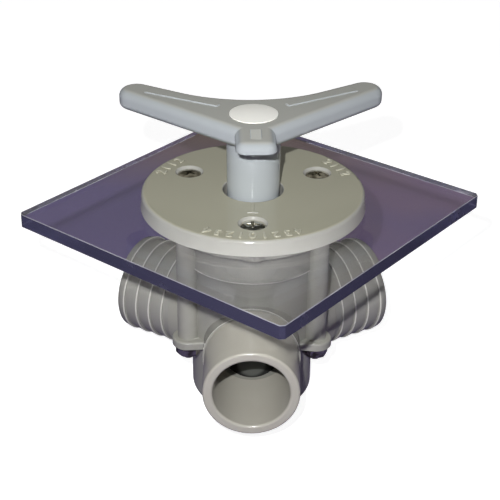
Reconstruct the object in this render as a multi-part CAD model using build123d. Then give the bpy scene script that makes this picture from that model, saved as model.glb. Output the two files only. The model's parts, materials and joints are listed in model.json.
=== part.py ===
from build123d import *
import os
from math import cos, radians, sin

# A three-port rotary diverter valve, mounted through a square panel. Millimetres.
# Frame: origin on the spindle axis at the flat underside of the body, +Z up
# along the spindle, the front port towards -Y.

# ---------------------------------------------------------------- clearances
running_gap = 0.08  # radial, shaft in its bush
bond_gap = 0.05  # cemented or pressed pieces of one assembly
slip_gap = 0.2  # loose locating fits
sweep_gap = 0.35  # rotating pad to the chamber wall
screw_gap = 0.25  # radial, screw in its hole
level_tolerance = 0.01  # for picking the edges at a level

# ---------------------------------------------------------------- body
cup_radius = 26.3
cup_edge_round = 4.5
chamber_radius = 22.7
floor_thickness = 5.0
barrel_radius = 28.8
collar_radius = 30.0
collar_bottom_z = 65.1
collar_edge_round = 0.5
body_top_z = 79.2

# ---------------------------------------------------------------- ports
port_height = 33.9
port_bore_radius = 15.6
port_stop_radius = 24.6  # distance from the axis to the shoulder in each socket
front_azimuth = -90.0
back_azimuth = 90.0
left_azimuth = 150.0
right_azimuth = 30.0
socket_radius = 21.0
front_socket_radius = 20.4
front_socket_reach = 31.4
tail_socket_reach = 30.4
tenon_radius = 18.8  # the ends glued in the sockets
spigot_radius = 19.8
spigot_reach = 57.6
spigot_lead_length = 5.6
spigot_lead_drop = 0.2
spigot_lip_round = 1.1
tail_reach = 58.4
barb_crest_radius = 20.1
barb_root_radius = 18.9
barb_pitch = 6.65
barb_count = 4
barb_nose_length = 3.8

# ---------------------------------------------------------------- screws and ears
plate_screw_azimuths = (front_azimuth, right_azimuth, left_azimuth)
boss_azimuths = (back_azimuth, left_azimuth - 180, right_azimuth - 180)
screw_circle_radius = 31.4
screw_radius = 2.41
boss_radius = 4.4
ear_radius = 6.8
ear_thickness = 3.5
ear_rise = 1.2  # ears' top above the ports' axis
ear_root_radius = 12.0
ear_root_distance = 18.0
ear_edge_round = 0.8
lock_washer_radius = 4.3
lock_washer_thickness = 1.1
lock_washer_split = 1.0
nut_sides = 6
nut_flat_width = 9.53
nut_thickness = 3.6
nut_turn = 38.0
screw_overhang = 2.2
pan_head_radius = 4.3
pan_head_height = 2.8
pan_head_round = 0.9
pan_well_radius = 4.7
pan_well_depth = 3.2
plate_screw_engagement = 4.2
insert_radius = 3.6
head_radius = 5.0
head_flat_depth = 1.1  # head rim below the faceplate's top
head_dome_height = 0.9
head_cone_depth = 2.6
recess_radius = 6.0
recess_floor_radius = 5.3
cross_length = 5.4
cross_width = 1.15
cross_depth = 1.5
cross_taper = 12.0

# ---------------------------------------------------------------- panel stack
panel_gasket_thickness = 1.0
panel_side = 136.7
panel_turn = 51.4
panel_shift = 1.1  # panel's middle in front of the spindle
panel_thickness = 6.0
panel_hole_radius = 14.0
panel_corner_chamfer = 1.6
panel_edge_chamfer = 0.25
plate_gasket_thickness = 0.5
plate_gasket_radius = 44.4
plate_base_radius = 46.9
plate_top_radius = 46.2
plate_thickness = 6.5
plate_edge_round = 1.5
plate_hole_radius = 12.5
plate_hole_round = 0.6
index_height = 0.4
index_width = 1.1
index_start = 15.0
index_end = 22.1
index_bar_length = 4.4

# ---------------------------------------------------------------- bonnet
bonnet_seat_z = 57.0
bonnet_bore_radius = 24.5
bonnet_flange_radius = 36.0
bonnet_flange_thickness = 4.7
bonnet_flange_round = 0.9
bonnet_pad_radius = 6.4
bonnet_pad_blend = 4.0
bonnet_floor_thickness = 4.0
bonnet_well_radius = 20.0
gland_radius = 8.5
gland_lip_thickness = 1.5
gland_lip_gap = 0.25
bonnet_ring_z = 70.5
bonnet_ring_radius = 1.3
bonnet_groove_width = 3.0
stem_ring_radius = 1.2
stem_ring_count = 2
bush_length = 7.0
bush_flange_radius = 10.5
bush_flange_thickness = 1.2

# ---------------------------------------------------------------- spindle
spindle_radius = 6.0
pivot_radius = 5.0
pivot_end_gap = 0.6
lower_bush_radius = 8.0
lower_bush_length = 6.0
pivot_boss_radius = 11.0
clip_thickness = 1.2
clip_groove_radius = 4.9
clip_radius = 9.0
clip_gap_width = 6.5
thrust_washer_radius = 9.6
thrust_washer_thickness = 1.0
float_gap = 0.05
drive_width = 8.3
drive_length = 17.0
spindle_top_below_handle = 14.1
tapping_depth = 14.0

# ---------------------------------------------------------------- rotor
rotor_hub_radius = 10.0
rotor_end_gap = 2.5
saddle_inner_radius = 15.4
saddle_margin = 0.3  # saddle's boundary outside the pad's
saddle_neck_radius = 9.0
pad_thickness = 3.3
pad_overlap = 2.0  # pad's boundary outside the port's bore
drive_pin_radius = 1.5
drive_pin_z = 50.5
retainer_radius = 6.0
retainer_thickness = 1.2
seal_screw_radius = 1.75
seal_screw_length = 10.0
seal_head_radius = 3.4
seal_head_height = 1.0

# ---------------------------------------------------------------- handle
handle_rest_turn = 2.4  # the handle as it stands, from straight over the ports
handle_top_above_plate = 33.2
arm_thickness = 8.4
arm_top_round = 3.4
arm_under_round = 2.6
arm_tip_radius = 7.3
arm_root_radius = 12.1
arm_root_y = -6.1
long_arm_azimuth = 31.5
long_arm_reach = 64.1
back_web_radius = 54.0
short_arm_half_width = 8.1
short_arm_reach = 31.0
short_arm_thickness = 4.1
short_arm_corner = 4.2
short_arm_round = 3.7
skirt_top_radius = 11.2
skirt_bottom_radius = 10.7
skirt_bottom_z = 76.2
skirt_bore_radius = 8.6
socket_floor_thickness = 3.0
rib_height = 0.55
rib_start = 16.5
rib_end = 50.5
rib_start_half_width = 1.2
rib_end_half_width = 3.2
rib_edge_round = 0.25
nub_start = 18.4
nub_end = 25.4
nub_half_width = 2.3
nub_rise = 1.6
nub_edge_round = 0.5
cap_radius = 9.9
cap_thickness = 2.4
cap_stand = 0.3
cap_dome_height = 0.6
handle_screw_radius = 2.4
handle_head_radius = 4.6
handle_head_height = 2.6
handle_head_round = 0.85
handle_screw_grip = 11.0
handle_washer_radius = 5.8
handle_washer_thickness = 1.0
head_well_radius = 6.4

# ---------------------------------------------------------------- derived levels
chamber_floor_z = floor_thickness
bonnet_top_z = body_top_z + bonnet_flange_thickness
panel_bottom_z = bonnet_top_z + panel_gasket_thickness
panel_top_z = panel_bottom_z + panel_thickness
plate_top_z = panel_top_z + plate_thickness
plate_recess_z = panel_top_z + plate_gasket_thickness
ear_top_z = port_height + ear_rise
ear_bottom_z = ear_top_z - ear_thickness
nut_top_z = ear_bottom_z - lock_washer_thickness
nut_bottom_z = nut_top_z - nut_thickness
screw_end_z = nut_bottom_z - screw_overhang
hole_radius = screw_radius + screw_gap
plate_screw_end_z = bonnet_top_z - plate_screw_engagement
insert_bottom_z = plate_screw_end_z
handle_top_z = plate_top_z + handle_top_above_plate
arm_bottom_z = handle_top_z - arm_thickness
spindle_top_z = handle_top_z - spindle_top_below_handle
bonnet_floor_z = bonnet_seat_z + bonnet_floor_thickness
gland_bottom_z = bonnet_seat_z + gland_lip_thickness
gland_depth = stem_ring_count * 2 * (stem_ring_radius + float_gap)
bush_bottom_z = gland_bottom_z + gland_depth
bush_top_z = bush_bottom_z + bush_length
thrust_washer_z = bush_top_z + bush_flange_thickness + float_gap
clip_z = thrust_washer_z + thrust_washer_thickness + float_gap
lower_bush_top_z = chamber_floor_z + lower_bush_length
drive_bottom_z = spindle_top_z - drive_length
pad_outer_radius = chamber_radius - sweep_gap
pad_inner_radius = pad_outer_radius - pad_thickness
pad_round_radius = port_bore_radius + pad_overlap
saddle_round_radius = pad_round_radius + saddle_margin
saddle_outer_radius = pad_inner_radius - bond_gap
rotor_bottom_z = lower_bush_top_z + rotor_end_gap
rotor_top_z = bonnet_seat_z - rotor_end_gap


# ---------------------------------------------------------------- helpers
def rod(radius, bottom, top):
    """Upright cylinder between two levels."""
    return Pos(0, 0, (bottom + top) / 2) * Cylinder(radius, top - bottom)


def tube(outer, inner, bottom, top):
    """Upright ring between two levels."""
    return rod(outer, bottom, top) - rod(inner, bottom, top)


def cone(bottom_radius, top_radius, bottom, top):
    """Upright frustum between two levels."""
    return Pos(0, 0, (bottom + top) / 2) * Cone(bottom_radius, top_radius, top - bottom)


def on_circle(shape, azimuth, radius):
    """The shape, built at the axis facing +X, moved out along an azimuth."""
    return Rot(0, 0, azimuth) * Pos(radius, 0, 0) * shape


def along_port(azimuth):
    """Plane on the valve's axis at port height whose normal points out of a port."""
    outward = (cos(radians(azimuth)), sin(radians(azimuth)), 0)
    return Plane(origin=(0, 0, port_height), x_dir=(0, 0, 1), z_dir=outward)


def port_rod(azimuth, radius, start, end):
    """Cylinder on a port's axis, between two distances from the valve's axis."""
    return along_port(azimuth) * Pos(0, 0, (start + end) / 2) * Cylinder(radius, end - start)


def turned(points):
    """Solid of revolution about Z from (radius, height) points."""
    outline = Polyline(*[(r, 0, z) for r, z in points], close=True)
    return revolve(make_face(outline), Axis.Z)


def rim(shape, level):
    """Round edges that lie flat at a level."""
    low, high = level - level_tolerance, level + level_tolerance
    return shape.edges().filter_by(GeomType.CIRCLE).filter_by_position(Axis.Z, low, high)


def at_azimuths(shape, azimuths, radius):
    """Copies of a shape round the valve."""
    return [on_circle(shape, azimuth, radius) for azimuth in azimuths]


def with_holes(shape, azimuths, bottom, top, radius=hole_radius):
    """The shape with a hole at the screw circle for each azimuth."""
    for azimuth in azimuths:
        shape -= on_circle(rod(radius, bottom, top), azimuth, screw_circle_radius)
    return shape


def grouped(shapes):
    """Several separate solids kept as one node."""
    return Compound(children=[shape.solid() for shape in shapes])


def round_valve(shape, azimuths):
    """A fastener repeated on the screw circle."""
    return grouped(at_azimuths(shape, azimuths, screw_circle_radius))


# ---------------------------------------------------------------- body pieces
def make_valve_body():
    """Cup, barrel, ears, bosses and three port sockets in one moulding."""
    cup = rod(cup_radius, 0, port_height)
    cup = fillet(rim(cup, 0), cup_edge_round)
    collar = rod(collar_radius, collar_bottom_z, body_top_z)
    collar = fillet(rim(collar, collar_bottom_z), collar_edge_round)
    body = cup + rod(barrel_radius, ear_bottom_z, body_top_z) + collar
    small = Pos(screw_circle_radius, 0) * Circle(ear_radius)
    large = Pos(ear_root_distance, 0) * Circle(ear_root_radius)
    ear = extrude(make_hull(small.edges() + large.edges()), ear_thickness)
    ear = fillet(ear.edges().group_by(Axis.Z)[-1], ear_edge_round)
    for azimuth in boss_azimuths:
        body += Rot(0, 0, azimuth) * Pos(0, 0, ear_bottom_z) * ear
        body += on_circle(rod(boss_radius, ear_bottom_z, body_top_z), azimuth, screw_circle_radius)
    sockets = {
        front_azimuth: (front_socket_radius, front_socket_reach),
        left_azimuth: (socket_radius, tail_socket_reach),
        right_azimuth: (socket_radius, tail_socket_reach),
    }
    for azimuth, (radius, reach) in sockets.items():
        body += port_rod(azimuth, radius, 0, reach)
    body -= rod(chamber_radius, chamber_floor_z, bonnet_seat_z)
    body -= rod(bonnet_bore_radius, bonnet_seat_z, body_top_z)
    for azimuth, (_, reach) in sockets.items():
        body -= port_rod(azimuth, tenon_radius + bond_gap, port_stop_radius, reach)
        body -= port_rod(azimuth, port_bore_radius, 0, reach)
    body += tube(pivot_boss_radius, lower_bush_radius, chamber_floor_z, lower_bush_top_z)
    return with_holes(body, boss_azimuths, ear_bottom_z, body_top_z)


def make_front_spigot():
    """Plain hose spigot with a lead-in taper and a rounded lip."""
    lip_radius = spigot_radius - spigot_lead_drop
    lead = spigot_reach - spigot_lead_length
    pipe = turned([
        (port_bore_radius, port_stop_radius),
        (tenon_radius, port_stop_radius),
        (tenon_radius, front_socket_reach),
        (spigot_radius, front_socket_reach),
        (spigot_radius, lead),
        (lip_radius, spigot_reach),
        (port_bore_radius, spigot_reach),
    ])
    pipe = fillet(rim(pipe, spigot_reach), spigot_lip_round)
    return along_port(front_azimuth) * pipe


def make_hose_tail(azimuth):
    """Barbed tail: each tooth ramps up towards the body and steps down behind."""
    first_crest = tail_reach - barb_nose_length
    barb_slope = (barb_crest_radius - barb_root_radius) / barb_pitch
    nose_radius = barb_crest_radius - barb_slope * barb_nose_length
    points = [
        (port_bore_radius, port_stop_radius),
        (tenon_radius, port_stop_radius),
        (tenon_radius, tail_socket_reach),
        (barb_root_radius, tail_socket_reach),
    ]
    for tooth in range(barb_count - 1, -1, -1):
        crest = first_crest - tooth * barb_pitch
        points += [(barb_root_radius, crest), (barb_crest_radius, crest)]
    points += [(nose_radius, tail_reach), (port_bore_radius, tail_reach)]
    pipe = fillet(rim(turned(points), tail_reach), spigot_lip_round / 2)
    return along_port(azimuth) * pipe


def flange_outline():
    """Round flange that swells at each screw, with the corners blended."""
    outline = Circle(bonnet_flange_radius)
    for azimuth in boss_azimuths + plate_screw_azimuths:
        outline += on_circle(Circle(bonnet_pad_radius), azimuth, screw_circle_radius)
    return fillet(outline.vertices(), bonnet_pad_blend)


def make_bonnet():
    """Cover with a flange on the barrel, a plug in it, and the spindle's gland."""
    plug_radius = bonnet_bore_radius - slip_gap
    groove_radius = bonnet_bore_radius - 2 * bonnet_ring_radius - 2 * bond_gap
    half = bonnet_groove_width / 2
    flange = Pos(0, 0, body_top_z) * extrude(flange_outline(), bonnet_flange_thickness)
    flange = fillet(flange.edges().group_by(Axis.Z)[0], bonnet_flange_round)
    bonnet = flange + rod(plug_radius, bonnet_seat_z, bonnet_top_z)
    bonnet -= tube(plug_radius + slip_gap, groove_radius, bonnet_ring_z - half, bonnet_ring_z + half)
    bonnet -= rod(bonnet_well_radius, bonnet_floor_z, bonnet_top_z)
    bonnet += rod(bush_flange_radius + bush_flange_thickness, bonnet_floor_z, bush_top_z)
    bonnet -= rod(gland_radius, gland_bottom_z, bush_top_z)
    bonnet -= rod(spindle_radius + gland_lip_gap, bonnet_seat_z, gland_bottom_z)
    bonnet = with_holes(bonnet, boss_azimuths, body_top_z, bonnet_top_z)
    well_floor = bonnet_top_z - pan_well_depth
    bonnet = with_holes(bonnet, boss_azimuths, well_floor, bonnet_top_z, pan_well_radius)
    insert_hole = insert_radius + bond_gap
    return with_holes(bonnet, plate_screw_azimuths, insert_bottom_z, bonnet_top_z, insert_hole)


def make_thread_insert():
    """Brass sleeve in the bonnet that a faceplate screw turns into."""
    return tube(insert_radius, screw_radius + bond_gap, insert_bottom_z, bonnet_top_z)


def make_o_ring(centre_radius, section_radius, height):
    """Round-section ring."""
    return Pos(0, 0, height) * Torus(centre_radius, section_radius)


def make_stem_o_rings():
    """Rings stacked in the gland round the spindle."""
    centre = (spindle_radius + gland_radius) / 2
    step = 2 * (stem_ring_radius + float_gap)
    levels = [gland_bottom_z + step * (n + 0.5) for n in range(stem_ring_count)]
    return grouped([make_o_ring(centre, stem_ring_radius, level) for level in levels])


def make_upper_bush():
    """Flanged spindle bearing, pressed in the bonnet above the rings."""
    inner = spindle_radius + running_gap
    bush = tube(gland_radius - bond_gap, inner, bush_bottom_z, bush_top_z)
    return bush + tube(bush_flange_radius, inner, bush_top_z, bush_top_z + bush_flange_thickness)


def make_lower_bush():
    """Pivot bearing in the floor boss."""
    return tube(
        lower_bush_radius - bond_gap, pivot_radius + running_gap, chamber_floor_z, lower_bush_top_z
    )


# ---------------------------------------------------------------- panel stack
def make_panel_gasket():
    """Flat ring that follows the top of the bonnet, over the body screws' heads."""
    gasket = Pos(0, 0, bonnet_top_z) * extrude(flange_outline(), panel_gasket_thickness)
    gasket -= rod(bonnet_well_radius, bonnet_top_z, panel_bottom_z)
    return with_holes(gasket, plate_screw_azimuths, bonnet_top_z, panel_bottom_z)


def make_mounting_panel():
    """Square clear sheet with a spindle hole, screw holes and cut corners."""
    panel = Box(panel_side, panel_side, panel_thickness)
    panel = chamfer(panel.edges().filter_by(Axis.Z), panel_corner_chamfer)
    flat_edges = panel.edges().group_by(Axis.Z)
    panel = chamfer(flat_edges[-1] + flat_edges[0], panel_edge_chamfer)
    middle = (panel_bottom_z + panel_top_z) / 2
    panel = Pos(0, -panel_shift, middle) * Rot(0, 0, panel_turn) * panel
    panel -= rod(panel_hole_radius, panel_bottom_z, panel_top_z)
    return with_holes(panel, plate_screw_azimuths, panel_bottom_z, panel_top_z)


def make_faceplate_gasket():
    """Thin ring between the faceplate and the panel."""
    gasket = tube(plate_gasket_radius, panel_hole_radius, panel_top_z, plate_recess_z)
    return with_holes(gasket, plate_screw_azimuths, panel_top_z, plate_recess_z)


def make_faceplate():
    """Round plate with a spindle hole, countersinks and a raised index mark."""
    plate = cone(plate_base_radius, plate_top_radius, panel_top_z, plate_top_z)
    plate = fillet(rim(plate, plate_top_z), plate_edge_round)
    plate -= rod(plate_gasket_radius + bond_gap, panel_top_z, plate_recess_z)
    hole = rod(plate_hole_radius, panel_top_z, plate_top_z)
    plate = fillet(rim(plate - hole, plate_top_z).sort_by(SortBy.RADIUS)[0], plate_hole_round)
    seat_z = plate_top_z - head_flat_depth
    sink = cone(recess_floor_radius, recess_radius, seat_z, plate_top_z)
    sink += cone(hole_radius, recess_floor_radius, seat_z - head_cone_depth, seat_z)
    sink += rod(hole_radius, panel_top_z, seat_z)
    for shape in at_azimuths(sink, plate_screw_azimuths, screw_circle_radius):
        plate -= shape
    stem_length = index_end - index_start
    mark = Pos(index_start + stem_length / 2, 0) * Rectangle(stem_length, index_width)
    mark += Pos(index_end, 0) * Rectangle(index_width, index_bar_length)
    mark = extrude(mark, index_height)
    return plate + Rot(0, 0, front_azimuth) * Pos(0, 0, plate_top_z) * mark


def cross_recess(level):
    """Cross-shaped driver recess, cut down from a level."""
    cross = Rectangle(cross_length, cross_width) + Rectangle(cross_width, cross_length)
    return Pos(0, 0, level) * extrude(cross, -cross_depth, taper=cross_taper)


def make_body_screw():
    """Long pan-head screw from the bonnet's flange to below its nut."""
    seat_z = bonnet_top_z - pan_well_depth
    head = rod(pan_head_radius, seat_z, seat_z + pan_head_height)
    head = fillet(rim(head, seat_z + pan_head_height), pan_head_round)
    shank = rod(screw_radius, screw_end_z, seat_z)
    shank = chamfer(rim(shank, screw_end_z), screw_gap)
    return head + shank - cross_recess(seat_z + pan_head_height)


def make_faceplate_screw():
    """Oval-head screw through faceplate and panel into the bonnet's insert."""
    seat_z = plate_top_z - head_flat_depth
    screw = rod(screw_radius, plate_screw_end_z, seat_z)
    screw = chamfer(rim(screw, plate_screw_end_z), screw_gap)
    screw += cone(screw_radius, head_radius, seat_z - head_cone_depth + bond_gap, seat_z)
    ball = (head_radius**2 + head_dome_height**2) / (2 * head_dome_height)
    dome = Pos(0, 0, seat_z + head_dome_height - ball) * Sphere(ball)
    screw += dome & rod(head_radius, seat_z, seat_z + head_dome_height)
    return screw - cross_recess(seat_z + head_dome_height)


def make_hex_nut():
    """Hexagon nut with its corners eased."""
    corner = nut_flat_width / 2 / cos(radians(180 / nut_sides))
    blank = extrude(RegularPolygon(corner, nut_sides, rotation=nut_turn), nut_thickness)
    ease = corner - nut_flat_width / 2
    envelope = cone(corner - ease, corner, 0, ease / 2)
    envelope += rod(corner, ease / 2, nut_thickness - ease / 2)
    envelope += cone(corner, corner - ease, nut_thickness - ease / 2, nut_thickness)
    nut = (blank & envelope) - rod(screw_radius + bond_gap, 0, nut_thickness)
    return Pos(0, 0, nut_bottom_z) * nut


def make_lock_washer():
    """Split ring between an ear and its nut."""
    ring = tube(lock_washer_radius, hole_radius, nut_top_z, ear_bottom_z)
    gap = Box(lock_washer_radius, lock_washer_split, lock_washer_thickness)
    middle = (hole_radius + lock_washer_radius) / 2
    return ring - Pos(middle, 0, (nut_top_z + ear_bottom_z) / 2) * gap


# ---------------------------------------------------------------- moving pieces
def make_spindle():
    """Shaft with a lower pivot, a clip groove and a square drive at the top."""
    pivot_bottom = chamber_floor_z + pivot_end_gap
    spindle = rod(pivot_radius, pivot_bottom, lower_bush_top_z + slip_gap)
    spindle += rod(spindle_radius, lower_bush_top_z + slip_gap, drive_bottom_z)
    drive = Rectangle(drive_width, drive_width)
    spindle += Pos(0, 0, drive_bottom_z) * extrude(drive, drive_length)
    spindle -= tube(
        spindle_radius + slip_gap, clip_groove_radius, clip_z, clip_z + clip_thickness + float_gap
    )
    spindle -= rod(handle_screw_radius + bond_gap, spindle_top_z - tapping_depth, spindle_top_z)
    across = Pos(0, 0, drive_pin_z) * Rot(90, 0, 0) * Cylinder(
        drive_pin_radius + bond_gap, 2 * rotor_hub_radius
    )
    return spindle - across


def make_thrust_washer():
    """Plain washer between the upper bush and the clip."""
    return tube(
        thrust_washer_radius,
        spindle_radius + slip_gap,
        thrust_washer_z - float_gap,
        thrust_washer_z + thrust_washer_thickness - float_gap,
    )


def make_retaining_ring():
    """Open clip in the spindle's groove."""
    ring = tube(clip_radius, clip_groove_radius + bond_gap, clip_z, clip_z + clip_thickness)
    gap = Box(clip_radius, clip_gap_width, clip_thickness)
    return ring - Pos(0, clip_radius, clip_z + clip_thickness / 2) * Rot(0, 0, 90) * gap


def pad_shell(outer, inner, round_radius):
    """Piece of an upright tube inside a round boundary on the front port's axis."""
    shell = tube(outer, inner, chamber_floor_z, bonnet_seat_z)
    return shell & port_rod(front_azimuth, round_radius, 0, chamber_radius)


def make_rotor():
    """Hub on the spindle, a neck, and the curved saddle behind the pad."""
    rotor = rod(rotor_hub_radius, rotor_bottom_z, rotor_top_z)
    rotor += pad_shell(saddle_outer_radius, saddle_inner_radius, saddle_round_radius)
    neck = port_rod(front_azimuth, saddle_neck_radius, 0, chamber_radius)
    rotor += neck & rod(saddle_outer_radius, chamber_floor_z, bonnet_seat_z)
    rotor -= rod(spindle_radius + bond_gap, rotor_bottom_z, rotor_top_z)
    pin_hole = Pos(0, 0, drive_pin_z) * Rot(90, 0, 0) * Cylinder(
        drive_pin_radius + bond_gap, 2 * chamber_radius
    )
    rotor -= pin_hole & rod(rotor_hub_radius, rotor_bottom_z, rotor_top_z)
    hole_start = retainer_floor_distance() - seal_screw_length
    return rotor - port_rod(front_azimuth, seal_screw_radius + bond_gap, hole_start, chamber_radius)


def retainer_floor_distance():
    """Distance from the axis to the inner face of the retainer's pocket."""
    return pad_outer_radius - seal_head_height - retainer_thickness - slip_gap


def make_port_seal():
    """Curved rubber pad with a pocket at its middle for the retainer."""
    pad = pad_shell(pad_outer_radius, pad_inner_radius, pad_round_radius)
    pad -= port_rod(
        front_azimuth, retainer_radius + bond_gap, retainer_floor_distance(), chamber_radius
    )
    return pad - port_rod(front_azimuth, seal_screw_radius + bond_gap, 0, chamber_radius)


def make_seal_retainer():
    """Washer that holds the middle of the pad."""
    start = retainer_floor_distance()
    washer = port_rod(front_azimuth, retainer_radius, start, start + retainer_thickness)
    return washer - port_rod(front_azimuth, seal_screw_radius + bond_gap, 0, chamber_radius)


def make_seal_screw():
    """Pan-head screw through the retainer and pad into the rotor."""
    seat = retainer_floor_distance() + retainer_thickness
    shank = port_rod(front_azimuth, seal_screw_radius, seat - seal_screw_length, seat)
    head = port_rod(front_azimuth, seal_head_radius, seat, seat + seal_head_height)
    slot = Box(2 * seal_head_radius, cross_width, seal_head_height)
    return shank + head - along_port(front_azimuth) * Pos(0, 0, seat + seal_head_height) * slot


def make_drive_pin():
    """Cross pin through the rotor's hub and the spindle."""
    pin = Cylinder(drive_pin_radius, 2 * (rotor_hub_radius - slip_gap))
    return Pos(0, 0, drive_pin_z) * Rot(90, 0, 0) * pin


def long_arm_outline(side):
    """One long arm in plan: it tapers from the hub to a round tip."""
    azimuth = long_arm_azimuth if side > 0 else 2 * back_azimuth - long_arm_azimuth
    distance = long_arm_reach - arm_tip_radius
    tip = Rot(0, 0, azimuth) * Pos(distance, 0) * Circle(arm_tip_radius)
    root = Pos(0, arm_root_y) * Circle(arm_root_radius)
    return make_hull(tip.edges() + root.edges())


def star_outline():
    """Plan of the handle's two long arms with the web between them."""
    star = long_arm_outline(-1) + long_arm_outline(1)
    back = [v for v in star.vertices() if abs(v.X) < bond_gap and v.Y > 0]
    return fillet(back, back_web_radius)


def make_short_arm():
    """Thin tongue over the shut port, rounded along its top."""
    tongue = Pos(0, -short_arm_reach / 2) * Rectangle(2 * short_arm_half_width, short_arm_reach)
    tongue = fillet(tongue.vertices().group_by(Axis.Y)[0], short_arm_corner)
    bottom = handle_top_z - short_arm_thickness
    tongue = Pos(0, 0, bottom) * extrude(tongue, short_arm_thickness)
    rounded = tongue.edges().group_by(Axis.Z)[-1].sort_by(Axis.Y)[:-1]
    return fillet(rounded, short_arm_round)


def rib(start, end, start_half, end_half):
    """Low tapered bar on the top of an arm that points along +X."""
    bar = Polygon(
        (start, -start_half), (end, -end_half), (end, end_half), (start, start_half), align=None
    )
    bar = extrude(bar, rib_height)
    return fillet(bar.edges().group_by(Axis.Z)[-1], rib_edge_round)


def make_nub():
    """Small wedge on the short arm that slopes down towards its end."""
    low = handle_top_z - nub_rise
    side = Polygon(
        (nub_start, low), (nub_end, low), (nub_end, handle_top_z), (nub_start, low + 2 * nub_rise),
        align=None,
    )
    wedge = extrude(Plane.XZ * side, nub_half_width, both=True)
    edges = [edge for edge in wedge.edges() if edge.center().Z > handle_top_z - level_tolerance]
    upper = [edge for edge in edges if edge.center().X < nub_end - level_tolerance]
    return Rot(0, 0, front_azimuth) * fillet(upper, nub_edge_round)


def make_handle():
    """Star handle with its hub skirt, spindle socket and cap well."""
    arms = Pos(0, 0, arm_bottom_z) * extrude(star_outline(), arm_thickness)
    arms = fillet(arms.edges().group_by(Axis.Z)[-1], arm_top_round)
    arms = fillet(arms.edges().group_by(Axis.Z)[0], arm_under_round)
    skirt = cone(skirt_bottom_radius, skirt_top_radius, skirt_bottom_z, arm_bottom_z)
    handle = arms + make_short_arm() + skirt
    handle += rod(skirt_top_radius, arm_bottom_z, arm_bottom_z + arm_thickness / 2)
    long_rib = rib(rib_start, rib_end, rib_start_half_width, rib_end_half_width)
    for azimuth in (long_arm_azimuth, 2 * back_azimuth - long_arm_azimuth):
        handle += Rot(0, 0, azimuth) * Pos(0, 0, handle_top_z) * long_rib
    handle += make_nub()
    handle -= rod(skirt_bore_radius, skirt_bottom_z, drive_bottom_z)
    socket = drive_width + 2 * slip_gap
    handle -= Pos(0, 0, drive_bottom_z) * extrude(Rectangle(socket, socket), drive_length + slip_gap)
    well_floor = spindle_top_z + slip_gap + socket_floor_thickness
    handle -= rod(head_well_radius, well_floor, handle_top_z)
    handle -= rod(cap_radius + bond_gap, handle_top_z - cap_thickness, handle_top_z + rib_height)
    return handle - rod(handle_screw_radius + screw_gap, spindle_top_z, well_floor)


def make_handle_washer():
    """Washer under the handle screw's head."""
    bottom = spindle_top_z + slip_gap + socket_floor_thickness
    return tube(
        handle_washer_radius,
        handle_screw_radius + screw_gap,
        bottom,
        bottom + handle_washer_thickness,
    )


def make_handle_screw():
    """Pan-head screw into the spindle's end."""
    bottom = spindle_top_z + slip_gap + socket_floor_thickness + handle_washer_thickness
    head = rod(handle_head_radius, bottom, bottom + handle_head_height)
    head = fillet(rim(head, bottom + handle_head_height), handle_head_round)
    screw = head + rod(handle_screw_radius, spindle_top_z - handle_screw_grip, bottom)
    return screw - cross_recess(bottom + handle_head_height)


def make_handle_cap():
    """Shallow domed disc pressed into the top of the handle."""
    bottom = handle_top_z - cap_thickness
    ball = (cap_radius**2 + cap_dome_height**2) / (2 * cap_dome_height)
    rim_z = handle_top_z + cap_stand
    dome = Pos(0, 0, rim_z + cap_dome_height - ball) * Sphere(ball)
    cap = rod(cap_radius, bottom, rim_z)
    return cap + (dome & rod(cap_radius, rim_z, rim_z + cap_dome_height))


# ---------------------------------------------------------------- output
fixed_nodes = {
    "valve_body": make_valve_body(),
    "front_spigot": make_front_spigot(),
    "left_hose_tail": make_hose_tail(left_azimuth),
    "right_hose_tail": make_hose_tail(right_azimuth),
    "bonnet": make_bonnet(),
    "bonnet_o_ring": make_o_ring(
        bonnet_bore_radius - bonnet_ring_radius - bond_gap, bonnet_ring_radius, bonnet_ring_z
    ),
    "stem_o_rings": make_stem_o_rings(),
    "upper_bush": make_upper_bush(),
    "lower_bush": make_lower_bush(),
    "panel_gasket": make_panel_gasket(),
    "mounting_panel": make_mounting_panel(),
    "faceplate_gasket": make_faceplate_gasket(),
    "faceplate": make_faceplate(),
    "faceplate_screws": round_valve(make_faceplate_screw(), plate_screw_azimuths),
    "thread_inserts": round_valve(make_thread_insert(), plate_screw_azimuths),
    "body_screws": round_valve(make_body_screw(), boss_azimuths),
    "lock_washers": round_valve(make_lock_washer(), boss_azimuths),
    "hex_nuts": round_valve(make_hex_nut(), boss_azimuths),
    "thrust_washer": make_thrust_washer(),
}
turning_nodes = {
    "spindle": make_spindle(),
    "retaining_ring": make_retaining_ring(),
    "rotor": make_rotor(),
    "drive_pin": make_drive_pin(),
    "port_seal": make_port_seal(),
    "seal_retainer": make_seal_retainer(),
    "seal_screw": make_seal_screw(),
    "handle": make_handle(),
    "handle_washer": make_handle_washer(),
    "handle_screw": make_handle_screw(),
    "handle_cap": make_handle_cap(),
}

os.makedirs("parts", exist_ok=True)
for name, shape in fixed_nodes.items():
    export_step(shape, f"parts/{name}.step")
for name, shape in turning_nodes.items():
    export_step(Rot(0, 0, handle_rest_turn) * shape, f"parts/{name}.step")
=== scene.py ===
"""Dresses the three-way valve: finishes for every part, detail pieces, light and camera."""

import json
import logging
from collections.abc import Iterable
from dataclasses import dataclass, field
from enum import Enum
from math import cos, pi, radians, sin
from typing import Any

import bmesh
import bpy
from mathutils import Matrix, Vector


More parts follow.
